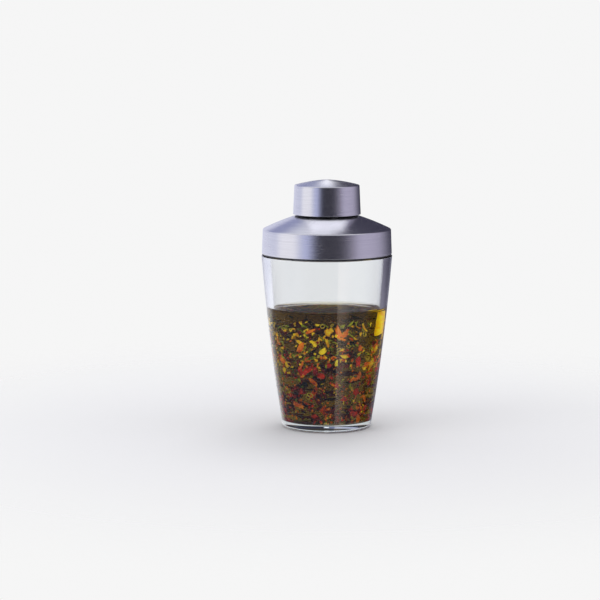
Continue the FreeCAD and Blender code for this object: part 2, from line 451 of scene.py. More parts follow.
# Brushed steel. Lines and patches are counted a metre, reliefs are a strength and a depth in metres.
STEEL_LIGHT = (0.79, 0.79, 0.83, 1.0)
STEEL_DARK = (0.71, 0.71, 0.755, 1.0)
STEEL_ROUGH = 0.25
STEEL_GRAIN = 0.6       # anisotropy of the brushing
ROUND_AXIS = 0.25       # a quarter turn lays the grain round the axis
HAIR_LINES = 4200.0     # brush lines along the profile
HAIR_TURN = 1.8         # how soon a brush line changes round the axis
HAIR_SHARE = 0.6        # of the tone; the streaks give the rest
HAIR_ROUGH = 0.08
HAIR_RELIEF = (0.06, 0.00003)
STREAKS = 700.0
STREAK_TURN = 1.2
STREAK_ROUGH = 0.04
LINE_NOISE = (3.0, 0.6)     # detail and roughness
STEEL_SMUDGES = 45.0
STEEL_SMUDGE_FADE = (0.5, 0.75)
STEEL_SMUDGE_ROUGH = 0.03
TONE_FADE = (0.3, 0.7)      # of a noise from one tone to the other
MID_NOISE = 0.5


def brushed_steel():
    """Steel brushed round the axis: noise that is fine along the profile and long round it, in coordinates
    of (cosine, sine of the turn, height less radius), for colour, roughness and a slight relief."""
    f = new_finish("brushed_steel")
    x, y, z = f.axes(f.place())
    radius = off_axis(x, y)
    across = z - radius

    def lines(per_metre, per_turn):
        parts = {0: x / radius * per_turn, 1: y / radius * per_turn, 2: across * per_metre}
        return f.noise(f.add("CombineXYZ", None, parts), 1.0, *LINE_NOISE)

    hair = lines(HAIR_LINES, HAIR_TURN)
    streak = lines(STREAKS, STREAK_TURN)
    smudge = f.noise(f.place(), STEEL_SMUDGES).step(*STEEL_SMUDGE_FADE)
    tone = (hair * HAIR_SHARE + streak * (1.0 - HAIR_SHARE)).step(*TONE_FADE)
    brushing = (hair - MID_NOISE) * HAIR_ROUGH + (streak - MID_NOISE) * STREAK_ROUGH
    surface = f.add("BsdfPrincipled", None, {
        "Base Color": f.mix(tone, STEEL_DARK, STEEL_LIGHT),
        "Metallic": 1.0,
        "Roughness": STEEL_ROUGH + brushing + smudge * STEEL_SMUDGE_ROUGH,
        "Anisotropic": STEEL_GRAIN,
        "Anisotropic Rotation": ROUND_AXIS,
        "Normal": f.bump(hair, *HAIR_RELIEF),
    })
    return finished(f, surface)


# Clear plastic and the liquid, which have nearly one index
CLEAR_COLOUR = (0.985, 0.99, 0.992, 1.0)
CLEAR_SMUDGED = (0.972, 0.978, 0.982, 1.0)
CLEAR_IOR = 1.49
CLEAR_TINT = (0.52, 0.60, 0.64, 1.0)
CLEAR_DENSITY = 13.0
CLEAR_SMUDGES = 70.0
CLEAR_SMUDGE_NOISE = (3.0, 0.6)
CLEAR_SMUDGE_FADE = (0.45, 0.75)
RIPPLES = 55.0
RIPPLE_DETAIL = 1.0
RIPPLE_RELIEF = (0.1, 0.0002)
WET_TINT = (0.05, 0.05, 0.05, 1.0)  # share of its mirroring that a wetted side keeps
OIL_COLOUR = (0.7625, 0.6875, 0.0625, 1.0)
OIL_DENSITY = 160.0
OIL_IOR = 1.47


def polished(f, colour, ior, more):
    """Smooth clear surface of that index, with more of its sockets."""
    sockets = {"Base Color": colour, "Roughness": 0.0, "IOR": ior, "Transmission Weight": 1.0}
    return f.add("BsdfPrincipled", None, sockets | more)


def tinted_depth(f, colour, density):
    """What the depth of a clear piece takes out of the light."""
    return f.add("VolumeAbsorption", None, {"Color": colour, "Density": density})


def clear_plastic():
    """Clear polished plastic, faintly tinted in its depth, with slow mould ripples and faint smudges."""
    f = new_finish("clear_plastic")
    smudge = f.noise(f.place(), CLEAR_SMUDGES, *CLEAR_SMUDGE_NOISE).step(*CLEAR_SMUDGE_FADE)
    ripple = f.noise(f.place(), RIPPLES, RIPPLE_DETAIL)
    colour = f.mix(smudge, CLEAR_COLOUR, CLEAR_SMUDGED)
    surface = polished(f, colour, CLEAR_IOR, {"Normal": f.bump(ripple, *RIPPLE_RELIEF)})
    return finished(f, surface, tinted_depth(f, CLEAR_TINT, CLEAR_DENSITY))


def wetted_plastic():
    """The clear plastic's side that the liquid wets: it hardly reflects."""
    f = new_finish("clear_plastic_wetted")
    return finished(f, polished(f, CLEAR_COLOUR, CLEAR_IOR, {"Specular Tint": WET_TINT}))


def oil():
    """Clear brown-gold liquid: its colour is what its depth takes out of the light."""
    f = new_finish("dressing_oil")
    surface = polished(f, (1.0, 1.0, 1.0, 1.0), OIL_IOR, {"Specular Tint": WET_TINT})
    return finished(f, surface, tinted_depth(f, OIL_COLOUR, OIL_DENSITY))


# Moulded plastic and rubber
DRIFTS = 60.0
DRIFT_DETAIL = 3.0
DRIFT_ROUGH = 0.12
GRAIN_ROUGH = 0.08
GRAIN_DEPTH = 0.0001


def moulded(name, low, high, rough, grain, relief):
    """Moulded plastic or rubber: a fine grain in relief, and a slow drift of tone and gloss."""
    f = new_finish(name)
    drift = f.noise(f.place(), DRIFTS, DRIFT_DETAIL)
    fine = f.noise(f.place(), grain)
    surface = f.add("BsdfPrincipled", None, {
        "Base Color": f.mix(drift.step(*TONE_FADE), low, high),
        "Roughness": rough + (drift - MID_NOISE) * DRIFT_ROUGH + (fine - MID_NOISE) * GRAIN_ROUGH,
        "Normal": f.bump(fine, relief, GRAIN_DEPTH),
    })
    return finished(f, surface)


# Chopped bits
SPOT_NOISE = (3.0, 0.6)     # detail and roughness
SPOT_FADE = (0.35, 0.65)
SPOT_ROUGH = 0.3
FOOD_ROUGH = 0.45
FOOD_SHINE = 0.2
PAINTED_GLOW_Z = (22.0, 72.0)       # heights between which the bits' painted glow comes up; below them it is painted shade
# share of the painted glow that is left below those heights
PAINTED_GLOW_LEAST = 0.40


def food(name, dark, light, patch, glow):
    """Chopped pepper or herb: two tones in small patches, softly glossy. The glow is painted light, an
    emission in the bits' own colour, and painted shade takes it down to a share of itself further down."""
    f = new_finish(name)
    spots = f.noise(f.place(), patch, *SPOT_NOISE)
    colour = f.mix(spots.step(*SPOT_FADE), dark, light)
    height = f.axes(f.place())[2].step(PAINTED_GLOW_Z[0] * MM, PAINTED_GLOW_Z[1] * MM)
    surface = f.add("BsdfPrincipled", None, {
        "Base Color": colour,
        "Roughness": FOOD_ROUGH + (spots - MID_NOISE) * SPOT_ROUGH,
        "Specular IOR Level": FOOD_SHINE,
        # painted light: emission in the bits' own colour, dimmer lower down as painted shade
        "Emission Color": f.mix(height * (1.0 - PAINTED_GLOW_LEAST) + PAINTED_GLOW_LEAST, (0, 0, 0, 1), colour),
        "Emission Strength": glow,
    })
    return finished(f, surface)


def wall_r(z):
    """Inside radius of the beaker at height z: the wall's arc, less the round above the floor."""
    low, high = np.array([FLOOR_R, BASE_T]), np.array([NECK_BORE_R, BODY_H])
    chord = np.hypot(*(high - low))
    radius = (chord ** 2 / 4 + WALL_BOW ** 2) / (2 * WALL_BOW)
    right = np.array([high[1] - low[1], low[0] - high[0]]) / chord
    middle = (low + high) / 2 + right * (WALL_BOW - radius)
    arc = middle[0] + np.sqrt(radius ** 2 - (z - middle[1]) ** 2)
    into = np.clip(BASE_T + FLOOR_ROUND - z, 0, FLOOR_ROUND)
    return arc - FLOOR_ROUND + np.sqrt(FLOOR_ROUND ** 2 - into ** 2)


def part_bow(z_one, z_other):
    """Bow of a piece of the inside wall's arc between two heights: it goes with the length squared."""
    return WALL_BOW * ((z_one - z_other) / (BODY_H - BASE_T)) ** 2


def beaker():
    """Clear tumbler: thick recessed base, bowed wall, shoulder, and a neck with its outside thread."""
    recess_r = FOOT_R - FOOT_ROUND - STAND_W
    line = outline([
        corner(0, RECESS_H),
        corner(recess_r - RECESS_H, RECESS_H, SOFT_EDGE),
        corner(recess_r, 0, SOFT_EDGE),
        corner(FOOT_R, 0, FOOT_ROUND, WALL_BOW),
        corner(SHOULDER_R, BODY_H, RIM_ROUND),
        corner(NECK_R, BODY_H, SOFT_EDGE, step=THREAD_STEP),
        corner(NECK_R, NECK_Z, RIM_ROUND),
        corner(NECK_BORE_R, NECK_Z, RIM_ROUND),
        corner(NECK_BORE_R, BODY_H, 0, -part_bow(BODY_H, WET_Z)),
        corner(wall_r(WET_Z), WET_Z, 0, -part_bow(WET_Z, BASE_T)),
        corner(FLOOR_R, BASE_T, FLOOR_ROUND),
        corner(0, BASE_T),
    ], closed=False)
    below, above = NECK_PLAIN
    return lathe(line, screw(NECK_R, BODY_H + below, NECK_Z - above, LID_LEAD, THREAD_H, 0.0))


def wet_inside(wall, finish):
    """Gives a finish to the faces that the liquid lies against: those between the floor and the liquid's
    edge that are no further from the axis than the inside of the wall."""
    wall.data.materials.append(finish)
    middles = np.empty(len(wall.data.polygons) * 3, np.float32)
    wall.data.polygons.foreach_get("center", middles)
    x, y, z = middles.reshape(-1, 3).T / MM
    wet = (z > BASE_T - SOFT_EDGE) & (z < WET_Z) & (np.hypot(x, y) < wall_r(z) + SOFT_EDGE)
    wall.data.polygons.foreach_set("material_index", wet.astype(np.int32))


def lid_steel():
    """Sheet steel lid: tapered skirt, rounded edge, domed top and the lip turned down round the hole."""
    lip_r = HOLE_R + SHEET
    under_r = LID_TOP_R - SHEET
    slope = LID_RISE / (LID_TOP_R - HOLE_R)
    line = outline([
        corner(LID_R - SHEET, SKIRT_Z0, HEM_ROUND),
        corner(LID_R, SKIRT_Z0, HEM_ROUND),
        corner(LID_TOP_R, SKIRT_Z1, LID_EDGE_ROUND, LID_BOW, DOME_STEP),
        corner(HOLE_R, LID_TOP_Z, SHEET),
        corner(HOLE_R, LEDGE_Z, HEM_ROUND),
        corner(lip_r, LEDGE_Z, HEM_ROUND),
        corner(lip_r, LID_TOP_Z - SHEET - slope * SHEET, 0, -LID_BOW),
        corner(under_r, SKIRT_Z1 - UNDER_DROP, LID_EDGE_ROUND - SHEET),
    ])
    return lathe(line)


def lid_lining():
    """Moulded lid liner: flange, threaded bore, deck with its bead, and threaded collar round the spout."""
    bead_r = GASKET_IN_R - SEAL_GAP
    ledge_r = HOLE_R + SHEET + LEDGE_W
    seat_z = COLLAR_Z - RING_H

    def inside(z):
        return LID_R - LID_TAPER * (z - SKIRT_Z0) / SKIRT_H - SHEET - BOND

    line = outline([
        corner(LINER_BORE_R, FLANGE_Z, SOFT_EDGE),
        corner(LID_R - FLANGE_INSET, FLANGE_Z, SOFT_EDGE),
        corner(LID_R - FLANGE_INSET, SKIRT_Z0, SOFT_EDGE),
        corner(inside(SKIRT_Z0), SKIRT_Z0),
        corner(inside(DECK_Z1), DECK_Z1, SOFT_EDGE),
        corner(ledge_r, DECK_Z1),
        corner(ledge_r, LEDGE_Z),
        corner(COLLAR_R, LEDGE_Z, 0, step=THREAD_STEP),
        corner(COLLAR_R, COLLAR_Z, SOFT_EDGE),
        corner(COLLAR_BORE_R + RING_W, COLLAR_Z),
        corner(COLLAR_BORE_R + RING_W, seat_z),
        corner(COLLAR_BORE_R, seat_z),
        corner(COLLAR_BORE_R, DECK_Z0, SOFT_EDGE),
        corner(bead_r - BEAD_W, DECK_Z0, SOFT_EDGE),
        corner(bead_r - BEAD_W, DECK_Z0 - BEAD_H, SOFT_EDGE),
        corner(bead_r, DECK_Z0 - BEAD_H, SOFT_EDGE),
        corner(bead_r, DECK_Z0),
        corner(LINER_BORE_R, DECK_Z0, step=THREAD_STEP),
    ])
    below, above = BORE_PLAIN
    bore = screw(LINER_BORE_R, FLANGE_Z + below, DECK_Z0 - above, LID_LEAD, -THREAD_H, BETWEEN)
    below, above = COLLAR_PLAIN
    collar = screw(COLLAR_R, LID_TOP_Z + below, COLLAR_Z - above, CAP_LEAD, THREAD_H, 0.0)
    return lathe(line, lambda r, z, t: bore(r, z, t) + collar(r, z, t))


def cap_steel():
    """Sheet steel cap: tapered wall, rounded edge and a low pointed top."""
    under_r = CAP_TOP_R - SHEET
    line = outline([
        corner(0, CAP_Z1 + CAP_RISE - SHEET, 0, -CAP_BOW),
        corner(under_r, CAP_Z1 - UNDER_DROP, CAP_EDGE_ROUND - SHEET),
        corner(CAP_R - SHEET, CAP_Z0, HEM_ROUND),
        corner(CAP_R, CAP_Z0, HEM_ROUND),
        corner(CAP_TOP_R, CAP_Z1, CAP_EDGE_ROUND, CAP_BOW, POINT_STEP),
        corner(0, CAP_Z1 + CAP_RISE),
    ], closed=False)
    return lathe(line)


def cap_lining():
    """Moulded cap liner: threaded bore, seal plate and the crown over the spout."""
    foot_z = CAP_Z0 + CAP_LINER_UP
    plate_z = SEAL_Z1 + CAP_PLATE_T
    hat_r = HAT_R + CAP_LINER_WALL

    def inside(z):
        return CAP_R - CAP_TAPER * (z - CAP_Z0) / CAP_H - SHEET - BOND

    line = outline([
        corner(0, HAT_Z0),
        corner(HAT_R, HAT_Z0, SOFT_EDGE),
        corner(HAT_R, SEAL_Z1, SOFT_EDGE),
        corner(CAP_BORE_R, SEAL_Z1, 0, step=THREAD_STEP),
        corner(CAP_BORE_R, foot_z, SOFT_EDGE),
        corner(inside(foot_z), foot_z, SOFT_EDGE),
        corner(inside(plate_z), plate_z, SOFT_EDGE),
        corner(hat_r, plate_z, SOFT_EDGE),
        corner(hat_r, HAT_Z1, SOFT_EDGE),
        corner(0, HAT_Z1),
    ], closed=False)
    below, above = CAP_PLAIN
    return lathe(line, screw(CAP_BORE_R, foot_z + below, SEAL_Z1 - above, CAP_LEAD, -THREAD_H, BETWEEN))


def seal(r_in, r_out, z0, z1):
    """Flat ring with rounded edges."""
    soft = min(r_out - r_in, z1 - z0) * SEAL_SOFT
    return lathe(outline([
        corner(r_in, z0, soft),
        corner(r_out, z0, soft),
        corner(r_out, z1, soft),
        corner(r_in, z1, soft),
    ]))


def spout_cup():
    """Flange and ring gutter of the spout, with the drain bore through its floor."""
    flange_r = COLLAR_R - SPOUT_FLANGE_INSET
    return lathe(outline([
        corner(SPOUT_BORE_R, GUTTER_Z - SPOUT_WALL, SOFT_EDGE),
        corner(SPOUT_R, GUTTER_Z - SPOUT_WALL, SOFT_EDGE),
        corner(SPOUT_R, COLLAR_Z),
        corner(flange_r, COLLAR_Z, SOFT_EDGE),
        corner(flange_r, SEAL_Z0, SOFT_EDGE),
        corner(GUTTER_R, SEAL_Z0, SOFT_EDGE),
        corner(GUTTER_R, GUTTER_Z, SPOUT_WALL),
        corner(SPOUT_BORE_R, GUTTER_Z, SOFT_EDGE),
    ]))


def spout_tube():
    """Pouring tube, open at its back: a wall of even thickness swept round the axis from one side of the
    drain slot to the other. Its top falls from lip to back as a cosine, and its lip flares in step with
    that. The wall's section goes up the outside, over a half-round rim and down the inside."""
    z_foot = GUTTER_Z - SPOUT_WALL / 2
    open_half = math.asin(SLOT_W / 2 / SPOUT_BORE_R)
    t = np.linspace(open_half - math.pi, math.pi - open_half, TUBE_COLUMNS)
    front = (1 + np.cos(t)) / 2
    top = SPOUT_Z - SPOUT_SLANT * (1 - front)
    rise = np.linspace(0, 1, TUBE_ROWS)
    rim = np.linspace(0, math.pi, TUBE_RIM)[1:-1]
    share = np.concatenate([rise, 1 + 0 * rim, rise[::-1]])
    offset = np.concatenate([SPOUT_WALL + 0 * rise, SPOUT_WALL * (1 + np.cos(rim)) / 2, 0 * rise])
    lift = np.concatenate([0 * rise, SPOUT_WALL / 2 * np.sin(rim), 0 * rise])
    widening = smooth((share - 1 + FLARE_SHARE) / FLARE_SHARE)[:, None] ** FLARE_CURVE
    flare = SPOUT_LIP * front[None, :] ** FLARE_FRONT * widening
    r = SPOUT_BORE_R + offset[:, None] + flare
    z = z_foot + share[:, None] * (top - SPOUT_WALL / 2 - z_foot) + lift[:, None]
    points = np.stack([r * np.cos(t), r * np.sin(t), z], axis=-1).reshape(-1, 3)
    rows, columns = r.shape
    first = (np.arange(rows) * columns)[None, :]
    last = (np.arange(rows)[::-1] * columns + columns - 1)[None, :]
    return points, [band(rows, columns, True, False), first, last]


def dressing():
    """The liquid: it lies against the beaker's inside, and its surface climbs to the wall exponentially."""
    edge_r = float(wall_r(WET_Z))
    wet = outline([
        corner(0, BASE_T - LIQUID_LAP),
        corner(FLOOR_R + LIQUID_LAP, BASE_T - LIQUID_LAP, FLOOR_ROUND, part_bow(WET_Z, BASE_T), WET_STEP),
        corner(edge_r + LIQUID_LAP, WET_Z),
    ], closed=False)
    inwards = (edge_r * np.linspace(0, 1, SURFACE_RINGS) ** SURFACE_CROWD)[1:]
    r = edge_r + LIQUID_LAP - inwards
    top = np.stack([r, FILL_Z + MENISCUS_H * np.exp(-inwards / MENISCUS_W)], axis=1)
    top[-1, 0] = 0.0
    return lathe(np.concatenate([wet, top]))


# Bits in the dressing
BIT_SEED = 7
BIT_COLUMNS = 10
BIT_RINGS = np.array([[0.72, -0.9], [1.0, 0.0], [0.72, 0.9]])   # shares of a plate's breadth and thickness
PLATE_SQUARE = (2, 8)   # power of its rim: 2 is an ellipse, and more is nearer to a rectangle
PLATE_TWIST = 0.35
RING_COLUMNS = 10
RING_SECTION = 4
RING_OVAL = (0.6, 1.0)
BIT_CLEAR = 0.12        # from the beaker's wall, its floor and the surface
BIT_MARGIN = 0.5        # of a bit's middle from the floor and the surface
BIT_AWAY = 0.5          # of a bit's middle from the wall, at least
BIT_AXIS = 2.0          # of a bit's middle from the axis, at least

rng = np.random.default_rng(BIT_SEED)


def plate_shapes(count, length, width, thick, curl, ragged):
    """Chopped plates: a ragged disc whose rim lies between an ellipse and a rectangle, length by width,
    thinner to its rim, bent into an arc along its length and twisted a little. Gives (count, points, 3)."""
    u = np.linspace(0, TURN, BIT_COLUMNS, endpoint=False)
    square = rng.uniform(*PLATE_SQUARE, (count, 1, 1))
    rim = (np.abs(np.cos(u)) ** square + np.abs(np.sin(u)) ** square) ** (-1 / square)
    rim = rim * (1 + ragged * rng.uniform(-1, 1, (count, 1, BIT_COLUMNS)))
    size = rng.uniform(*length, (count, 1, 1)) / 2
    broad = rng.uniform(*width, (count, 1, 1)) / 2
    deep = rng.uniform(*thick, (count, 1, 1)) / 2
    x = rim * np.cos(u) * BIT_RINGS[:, :1] * size
    y = rim * np.sin(u) * BIT_RINGS[:, :1] * broad
    z = np.broadcast_to(BIT_RINGS[:, 1:] * deep, x.shape)
    rings = np.stack([x, y, z], axis=-1).reshape(count, -1, 3)
    tip = np.zeros((count, 1, 3))
    tip[..., 2] = deep[:, 0]
    local = np.concatenate([rings, -tip, tip], axis=1)
    bend = rng.uniform(-1, 1, (count, 1)) * curl
    local[..., 2] += bend * (local[..., 0] ** 2 / size[:, 0] - size[:, 0] / 3)
    twist = rng.normal(0, PLATE_TWIST, (count, 1)) * local[..., 0] / size[:, 0]
    local[..., 1], local[..., 2] = swung(local[..., 1], local[..., 2], twist)
    rows = len(BIT_RINGS)
    return local, [band(rows, BIT_COLUMNS, False), *pole_fans(rows, BIT_COLUMNS)]


def ring_shapes(count, radius, wall, tall):
    """Sliced onion or chive: a small oval ring of four-sided section. Gives (count, points, 3)."""
    u = np.linspace(0, TURN, RING_COLUMNS, endpoint=False)
    v = np.linspace(0, TURN, RING_SECTION, endpoint=False)[:, None] - math.pi / 4
    size = rng.uniform(*radius, (count, 1, 1))
    thin = rng.uniform(*wall, (count, 1, 1))
    high = rng.uniform(*tall, (count, 1, 1))
    oval = rng.uniform(*RING_OVAL, (count, 1, 1))
    r = size + thin * np.cos(v)
    x = r * np.cos(u)
    y = r * np.sin(u) * oval
    z = np.broadcast_to(high * np.sin(v), x.shape)
    return np.stack([x, y, z], axis=-1).reshape(count, -1, 3), [band(RING_SECTION, RING_COLUMNS, True)]


# Standing strip of pepper, partly a bit of pepper and partly painted light: a bright, glowing patch near
# the wall where light refracted through the liquid would show
STRIP_TURN = (-17.0, -6.0)      # degrees from +X of its inner and its outer edge
STRIP_IN = (7.0, 0.7)           # how far in from the wall these edges stand
STRIP_DROP = (0.5, 17.5)        # its top and foot, below the surface
STRIP_ROOM = (-37.0, -7.0)      # degrees from +X between which other bits sink past its foot
STRIP_CLEAR = 2.0               # how far below its foot they count as beside it
STRIP_T = 2.0
STRIP_EDGE_T = 0.06
STRIP_EDGE = (3.5, 6.0)         # how soon it thickens from its sides and from its ends
STRIP_CURL = 1.1
STRIP_CORNER = (0.10, 0.03)     # how much its ends narrow and its sides shorten
STRIP_SKEW = 0.08               # how much shorter its outer edge is
STRIP_WAVES = ((0.04, 4.0, 0.8), (0.015, 13.0, 0.0))    # size, rate and start of the inner edge's waves
STRIP_GRID = (13, 25)


def pepper_strip_lit_patch():
    """A cut strip of pepper that stands in the liquid, placed as painted light where light refracted
    through the
    liquid would show as a bright patch: a grid from its inner edge to its outer edge, u, and down its
    length, v.
    Fourth powers round its corners, its inner edge waves as sines, it bows across its width as a parabola,
    and its two faces meet at the rim, where a product of steps takes the thickness to nearly nothing."""
    u, v = np.meshgrid(*(np.linspace(0, 1, points) for points in STRIP_GRID))
    rows, columns = u.shape
    down = 0.5 + (v - 0.5) * (1 - STRIP_CORNER[1] * (2 * u - 1) ** 4)
    height = FILL_Z - STRIP_DROP[0] - (STRIP_DROP[1] - STRIP_DROP[0]) * (down - STRIP_SKEW * u * down)
    wave = sum(size * np.sin(rate * v + start) for size, rate, start in STRIP_WAVES)
    across = 0.5 + (u + wave * (1 - u) - 0.5) * (1 - STRIP_CORNER[0] * (2 * v - 1) ** 4)

    def edge_at(back, turn):
        r = wall_r(height) - back
        return np.stack([r * math.cos(turn), r * math.sin(turn)], -1)

    inner, outer = map(edge_at, STRIP_IN, np.radians(STRIP_TURN))
    along = outer - inner
    middle = inner + along * across[..., None]
    normal = np.stack([along[..., 1], -along[..., 0]], -1) / np.linalg.norm(along, axis=-1, keepdims=True)
    sides, ends = STRIP_EDGE
    rim = smooth(sides * u) * smooth(sides * (1 - u)) * smooth(ends * v) * smooth(ends * (1 - v))
    bow = STRIP_CURL * (1 - (2 * u - 1) ** 2) - STRIP_CURL / 2
    thick = STRIP_EDGE_T + STRIP_T * np.sqrt(rim)
    both = [middle + normal * (bow + side * thick / 2)[..., None] for side in (1, -1)]
    points = np.stack([np.concatenate([at, height[..., None]], -1) for at in both])
    at = np.arange(rows - 1)[:, None] * columns + np.arange(columns - 1)[None, :]
    face = np.stack([at, at + columns, at + columns + 1, at + 1], -1).reshape(-1, 4)
    i, j = np.arange(rows - 1), np.arange(columns - 1)
    last = rows * columns - 1
    loop = np.concatenate([j, i * columns + columns - 1, last - j, (rows - 1 - i) * columns])
    after = np.roll(loop, -1)
    edge = np.stack([loop, after, after + rows * columns, loop + rows * columns], -1)
    return points.reshape(-1, 3), [face, face[:, ::-1] + rows * columns, edge]


def strewn(shapes, between, weight, depth, tilt):
    """Shapes laid in the liquid near the beaker's wall: each turned in its own plane, tilted out of it, and
    set at a drawn depth from the wall and a drawn height, between two shares of the liquid's depth with
    beta weights. What would reach through the wall, floor or surface is pressed back onto it."""
    local, blocks = shapes
    count = len(local)
    t = rng.uniform(0, TURN, (count, 1))
    low, high = between
    share = low + (high - low) * rng.beta(*weight, (count, 1))
    z = BASE_T + BIT_MARGIN + (FILL_Z - BASE_T - 2 * BIT_MARGIN) * share
    turned = np.degrees((t + math.pi) % TURN - math.pi)
    beside = (turned > STRIP_ROOM[0]) & (turned < STRIP_ROOM[1])
    z = z - STRIP_DROP[1] * (beside & (z > FILL_Z - STRIP_DROP[1] - STRIP_CLEAR))
    away = BIT_AWAY + rng.exponential(depth, (count, 1))
    spin = rng.uniform(0, TURN, (count, 1))
    lean, roll = rng.normal(0, tilt, (2, count, 1))
    x, y, n = local[..., 0], local[..., 1], local[..., 2]
    x, y = swung(x, y, spin)
    x, n = swung(x, n, lean)
    y, n = swung(y, n, roll)
    height = np.clip(z + y, BASE_T + BIT_CLEAR, FILL_Z - BIT_CLEAR)
    r = np.maximum(wall_r(z) - away, BIT_AXIS) + n
    across, along = swung(r, x, t)
    press = np.minimum(1.0, (wall_r(height) - BIT_CLEAR) / np.maximum(np.hypot(across, along), TINY))
    points = np.stack([across * press, along * press, height], axis=-1)
    step = points.shape[1] * np.arange(count)[:, None, None]
    return points.reshape(-1, 3), [(block[None] + step).reshape(-1, block.shape[1]) for block in blocks]


def chopped(count, length, width, thick, between, weight, curl=0.4, ragged=0.3, depth=1.4, tilt=0.5):
    """A batch of chopped plates strewn in the liquid; length, width and thick are ranges."""
    return strewn(plate_shapes(count, length, width, thick, curl, ragged), between, weight, depth, tilt)


def bits(name, batches, dark, light, patch, glow):
    """One kind of bits in the liquid, from its batches and its two display colours."""
    piece(name, batches, food(name, linear(*dark), linear(*light), patch, glow), "beaker")


# Finishes
steel = brushed_steel()
clear = clear_plastic()
wetted = wetted_plastic()
black = moulded("black_plastic", low=(0.012, 0.012, 0.014, 1), high=(0.022, 0.022, 0.025, 1),
                rough=0.42, grain=2600.0, relief=0.35)
grey = moulded("spout_plastic", low=(0.70, 0.71, 0.72, 1), high=(0.78, 0.79, 0.80, 1),
               rough=0.36, grain=2200.0, relief=0.2)
rubber = moulded("silicone", low=(0.50, 0.52, 0.54, 1), high=(0.58, 0.60, 0.62, 1),
                 rough=0.55, grain=3200.0, relief=0.3)

# The shaker
wet_inside(piece("beaker_wall", [beaker()], clear, "beaker", "beaker"), wetted)
piece("lid_steel", [lid_steel()], steel, "lid", "lid_shell")
piece("lid_lining", [lid_lining()], black, "lid", "lid_liner")
piece("cap_steel", [cap_steel()], steel, "cap", "cap_shell")
piece("cap_lining", [cap_lining()], black, "cap", "cap_liner")
piece("spout", [spout_cup(), spout_tube()], grey, "lid", "pour_spout")
piece("neck_gasket", [seal(GASKET_IN_R, LINER_BORE_R - SEAL_GAP, NECK_Z, DECK_Z0)],
      rubber, "lid_gasket", "lid_gasket")
piece("spout_ring", [seal(COLLAR_BORE_R, COLLAR_BORE_R + RING_W, COLLAR_Z - RING_H, COLLAR_Z)],
      rubber, "lid", "spout_seal")
piece("cap_ring", [seal(GUTTER_R - SEAL_GAP, CAP_BORE_R - SEAL_GAP, SEAL_Z0, SEAL_Z1)],
      rubber, "cap_seal", "cap_seal")

# The dressing. A batch of bits has its count, ranges of length, width and thickness, the two shares of the
# liquid's depth that it lies between, and the weights of its heights.
LARGE = {"curl": 0.35, "depth": 1.0, "tilt": 0.3}   # large bits lie flatter and nearer to the wall
piece("dressing", [dressing()], oil(), "beaker")
# Each kind's glow is painted light: an emission that lifts the bits in their own colour.
bits("yellow_pepper", [
    chopped(46, (3.4, 8.0), (2.0, 4.2), (0.6, 1.3), (0.1, 0.93), (2.6, 1.2), ragged=0.28, **LARGE),
    chopped(330, (1.0, 3.2), (0.6, 1.7), (0.3, 0.7), (0.0, 0.94), (2.2, 1.1)),
], dark=(206, 138, 4), light=(255, 226, 36), patch=170.0, glow=0.42)
# painted light: the strip glows most of all the bits and stands for a bright patch of light near the wall
bits("pepper_strip_lit_patch", [pepper_strip_lit_patch()], dark=(240, 184, 2), light=(255, 226, 10), patch=330.0, glow=0.85)
bits("orange_pepper", [
    chopped(50, (3.4, 8.5), (2.0, 4.4), (0.7, 1.4), (0.0, 0.88), (1.4, 1.4), ragged=0.28, **LARGE),
    chopped(270, (1.0, 3.2), (0.7, 1.8), (0.3, 0.8), (0.0, 0.92), (1.1, 1.4)),
], dark=(196, 66, 4), light=(255, 146, 22), patch=170.0, glow=0.34)
bits("red_pepper", [
    chopped(62, (3.4, 8.0), (2.2, 4.6), (0.7, 1.4), (0.0, 0.78), (1.2, 1.6), **LARGE),
    chopped(330, (1.0, 3.2), (0.7, 1.8), (0.3, 0.8), (0.0, 0.88), (1.0, 1.6)),
], dark=(132, 16, 8), light=(228, 58, 26), patch=170.0, glow=0.3)
bits("dark_chilli", [
    chopped(190, (1.8, 6.5), (1.2, 3.6), (0.4, 1.0), (0.0, 0.92), (0.9, 1.5), depth=1.8),
], dark=(52, 12, 8), light=(122, 28, 20), patch=170.0, glow=0.2)
bits("green_herbs", [
    chopped(330, (1.2, 5.4), (0.5, 2.0), (0.2, 0.45), (0.1, 0.94), (2.0, 1.0), curl=0.6, ragged=0.35),
], dark=(66, 76, 8), light=(172, 176, 30), patch=200.0, glow=0.3)
bits("onion_rings", [
    strewn(ring_shapes(80, radius=(0.8, 2.1), wall=(0.18, 0.34), tall=(0.3, 0.7)),
           between=(0.0, 0.94), weight=(1.3, 1.1), depth=1.0, tilt=0.5),
], dark=(176, 150, 28), light=(240, 214, 84), patch=200.0, glow=0.26)
bits("pepper_specks", [
    chopped(2400, (0.35, 1.1), (0.3, 0.8), (0.2, 0.5), (0.0, 0.95), (1.1, 1.0),
            curl=0.2, ragged=0.25, depth=1.8, tilt=0.6),
], dark=(104, 78, 50), light=(178, 142, 88), patch=260.0, glow=0.3)

# Studio. A part of it fades in from the first value of a pair to the second. Turns are degrees from the
# front, heights are sines of the angle above level, and sides run from -1 at the left to 1 at the right.
PALE = 0.92             # backdrop
LEFT_HALF = (0.1, -0.1)
ONCE_MIRRORED = (0.2, 0.8)      # in times mirrored, as is the next
TWICE_MIRRORED = (1.2, 1.8)

# Even light, dimmer low at the front
EVEN_LIGHT = (0.74, 0.74, 0.76, 1)
EVEN_FRONT = (0.40, 0.40, 0.42, 1)
EVEN_FRONT_TURN = (66, 10)
EVEN_FRONT_TOP = (0.5, 0.2)

